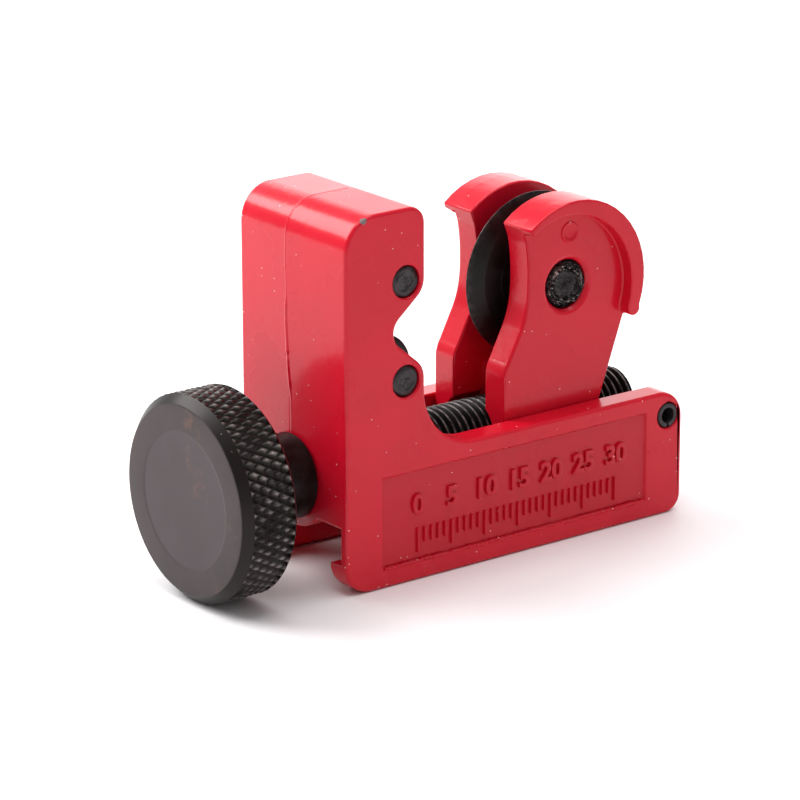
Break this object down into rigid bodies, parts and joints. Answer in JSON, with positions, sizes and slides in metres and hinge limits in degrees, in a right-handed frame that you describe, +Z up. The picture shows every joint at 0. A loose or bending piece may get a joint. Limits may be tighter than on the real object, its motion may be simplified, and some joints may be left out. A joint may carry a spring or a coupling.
{
  "type": "pipe cutter",
  "caption": "Mini pipe cutter: cast L-shaped frame with guide rollers, a sliding carriage with a cutting wheel, and a feed screw with a knurled knob.",
  "frame": {"origin": "middle of the footprint, on the surface that the frame stands on", "axes": "+X along the feed screw, from the knob to the open end of the channel; +Y from the marked side to the plain side, along the roller pins; +Z up, from the base to the rollers"},
  "size_m": [0.0664, 0.0248, 0.045],
  "materials": {
    "red_paint": "glossy red paint over a zinc casting",
    "black_steel": "satin black oxide",
    "pin_steel": "matt black oxide, staked ends",
    "knob_steel": "worn brown-black oxide, diamond knurl"
  },
  "bodies": {
    "frame": {"frame": "red_paint", "upper_roller_pin": "pin_steel", "lower_roller_pin": "pin_steel", "front_stop_pin": "black_steel", "back_stop_pin": "black_steel"},
    "upper_roller": {"upper_roller": "black_steel"},
    "lower_roller": {"lower_roller": "black_steel"},
    "carriage": {"carriage": "red_paint", "wheel_axle": "pin_steel"},
    "cutter_wheel": {"cutter_wheel": "black_steel"},
    "feed_screw": {"feed_screw": "black_steel", "retaining_ring": "black_steel", "knurled_knob": "knob_steel"}
  },
  "joints": [
    {"name": "knob_turn", "type": "hinge", "parent": "frame", "child": "feed_screw", "pos_m": [-0.01777, 0, 0.0124], "axis": [1, 0, 0], "range_deg": [-3105, 4795]},
    {"name": "carriage_travel", "type": "slide", "parent": "frame", "child": "carriage", "axis": [1, 0, 0], "range_m": [-0.0133, 0.0086]},
    {"name": "cutter_wheel_spin", "type": "hinge", "parent": "carriage", "child": "cutter_wheel", "pos_m": [0.01773, 0, 0.0305], "axis": [0, 1, 0], "continuous": true},
    {"name": "upper_roller_spin", "type": "hinge", "parent": "frame", "child": "upper_roller", "pos_m": [-0.00907, 0, 0.03635], "axis": [0, 1, 0], "continuous": true},
    {"name": "lower_roller_spin", "type": "hinge", "parent": "frame", "child": "lower_roller", "pos_m": [-0.00907, 0, 0.0245], "axis": [0, 1, 0], "continuous": true}
  ],
  "couplings": [
    {"joint": "knob_turn", "follows": "carriage_travel", "rad_per_m": -6283.2}
  ]
}
